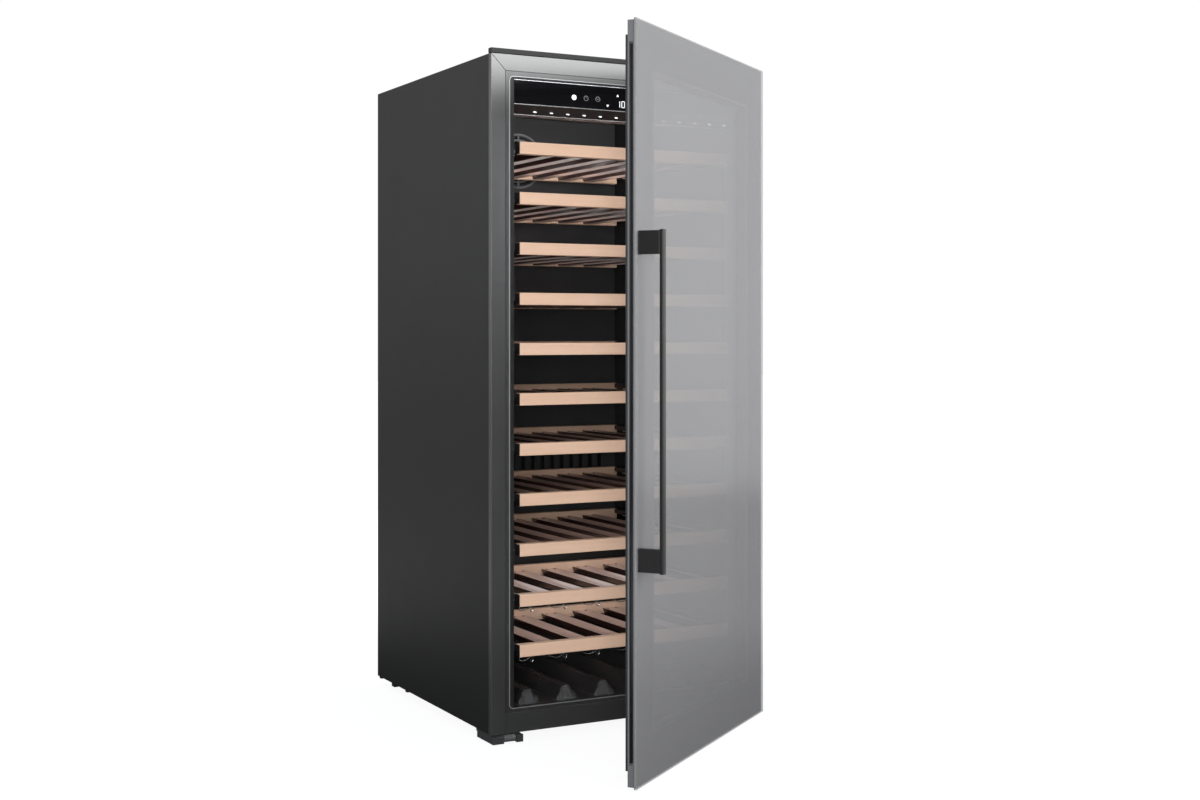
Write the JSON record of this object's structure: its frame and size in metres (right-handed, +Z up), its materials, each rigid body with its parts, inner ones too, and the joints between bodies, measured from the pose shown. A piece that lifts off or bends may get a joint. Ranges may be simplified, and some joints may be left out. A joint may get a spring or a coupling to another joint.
{
  "type": "built-in wine cooler",
  "caption": "Tall built-in wine cooler: an insulated dark steel cabinet with sliding slatted wooden shelves behind a hinged grey glass door with a slim bar handle",
  "frame": {"origin": "middle of the front left foot's flat pad, on the floor that the cooler stands on", "axes": "+Z up; -Y out of the front, towards the user; +X to the right seen from the front, the side the door is hinged on"},
  "size_m": [0.5633, 0.9777, 1.239],
  "materials": {
    "graphite_sheet": "satin",
    "frame_sheet": "satin",
    "door_profile": "satin",
    "liner_plastic": "satin",
    "black_plastic": "satin",
    "gloss_black": "gloss",
    "foam": "matte",
    "painted_black": "gloss",
    "bright_steel": "satin",
    "plain_aluminium": "satin",
    "copper_tube": "satin",
    "gasket_rubber": "matte",
    "handle_black": "satin",
    "beech_wood": "satin",
    "walnut_wood": "satin",
    "smoked_glass": "gloss"
  },
  "bodies": {
    "cabinet": {"left_side_panel": "graphite_sheet", "right_side_panel": "graphite_sheet", "top_panel": "graphite_sheet", "base_panel": "graphite_sheet", "rear_panel": "graphite_sheet", "insulation_foam": "foam", "inner_liner": "liner_plastic", "front_frame": "frame_sheet", "top_trim": "graphite_sheet", "control_housing": "black_plastic", "control_glass": "gloss_black", "duct_panel": "black_plastic", "fan_grille": "black_plastic", "fan_motor": "bright_steel", "charcoal_filter": "black_plastic", "floor_tray": "black_plastic", "evaporator": "plain_aluminium", "compressor": "painted_black", "condenser": "copper_tube", "mains_inlet": "black_plastic", "left_rack": "black_plastic", "right_rack": "black_plastic", "top_hinge_bracket": "bright_steel", "bottom_hinge_bracket": "bright_steel", "roller_bracket": "graphite_sheet", "front_left_foot": "black_plastic", "front_right_foot": "black_plastic", "rear_left_foot": "black_plastic", "rear_right_foot": "black_plastic"},
    "door": {"door_glass": "smoked_glass", "door_frame": "door_profile", "door_inner_pane": "smoked_glass", "door_gasket": "gasket_rubber", "handle_bar": "handle_black", "handle_post_top": "handle_black", "handle_post_bottom": "handle_black"},
    "circulation_fan": {"fan_rotor": "black_plastic"},
    "door_support_roller": {"support_roller": "black_plastic"},
    "shelf_1": {"shelf_1_front_rail": "beech_wood", "shelf_1_deck": "walnut_wood"},
    "shelf_2": {"shelf_2_front_rail": "beech_wood", "shelf_2_deck": "walnut_wood"},
    "shelf_3": {"shelf_3_front_rail": "beech_wood", "shelf_3_deck": "walnut_wood"},
    "shelf_4": {"shelf_4_front_rail": "beech_wood", "shelf_4_deck": "walnut_wood"},
    "shelf_5": {"shelf_5_front_rail": "beech_wood", "shelf_5_deck": "walnut_wood"},
    "shelf_6": {"shelf_6_front_rail": "beech_wood", "shelf_6_deck": "walnut_wood"},
    "shelf_7": {"shelf_7_front_rail": "beech_wood", "shelf_7_deck": "walnut_wood"},
    "shelf_8": {"shelf_8_front_rail": "beech_wood", "shelf_8_deck": "walnut_wood"},
    "shelf_9": {"shelf_9_front_rail": "beech_wood", "shelf_9_deck": "walnut_wood"},
    "shelf_10": {"shelf_10_front_rail": "beech_wood", "shelf_10_deck": "walnut_wood"},
    "shelf_11": {"shelf_11_front_rail": "beech_wood", "shelf_11_deck": "walnut_wood"}
  },
  "joints": [
    {"name": "door_hinge", "type": "hinge", "parent": "cabinet", "child": "door", "pos_m": [0.4947, -0.1577, 0.617], "axis": [0, 0, 1], "range_deg": [-36.2, 68.8]},
    {"name": "fan_spin", "type": "hinge", "parent": "cabinet", "child": "circulation_fan", "pos_m": [0.215, 0.381, 1.095], "axis": [0, 1, 0], "continuous": true},
    {"name": "roller_spin", "type": "hinge", "parent": "cabinet", "child": "door_support_roller", "pos_m": [-0.031, -0.1118, 0.0095], "axis": [1, 0, 0], "continuous": true},
    {"name": "shelf_1_slide", "type": "slide", "parent": "cabinet", "child": "shelf_1", "axis": [0, -1, 0], "range_m": [0, 0.04]},
    {"name": "shelf_2_slide", "type": "slide", "parent": "cabinet", "child": "shelf_2", "axis": [0, -1, 0], "range_m": [0, 0.04]},
    {"name": "shelf_3_slide", "type": "slide", "parent": "cabinet", "child": "shelf_3", "axis": [0, -1, 0], "range_m": [0, 0.04]},
    {"name": "shelf_4_slide", "type": "slide", "parent": "cabinet", "child": "shelf_4", "axis": [0, -1, 0], "range_m": [0, 0.04]},
    {"name": "shelf_5_slide", "type": "slide", "parent": "cabinet", "child": "shelf_5", "axis": [0, -1, 0], "range_m": [0, 0.04]},
    {"name": "shelf_6_slide", "type": "slide", "parent": "cabinet", "child": "shelf_6", "axis": [0, -1, 0], "range_m": [0, 0.04]},
    {"name": "shelf_7_slide", "type": "slide", "parent": "cabinet", "child": "shelf_7", "axis": [0, -1, 0], "range_m": [0, 0.04]},
    {"name": "shelf_8_slide", "type": "slide", "parent": "cabinet", "child": "shelf_8", "axis": [0, -1, 0], "range_m": [0, 0.04]},
    {"name": "shelf_9_slide", "type": "slide", "parent": "cabinet", "child": "shelf_9", "axis": [0, -1, 0], "range_m": [0, 0.04]},
    {"name": "shelf_10_slide", "type": "slide", "parent": "cabinet", "child": "shelf_10", "axis": [0, -1, 0], "range_m": [0, 0.04]},
    {"name": "shelf_11_slide", "type": "slide", "parent": "cabinet", "child": "shelf_11", "axis": [0, -1, 0], "range_m": [0, 0.04]}
  ]
}
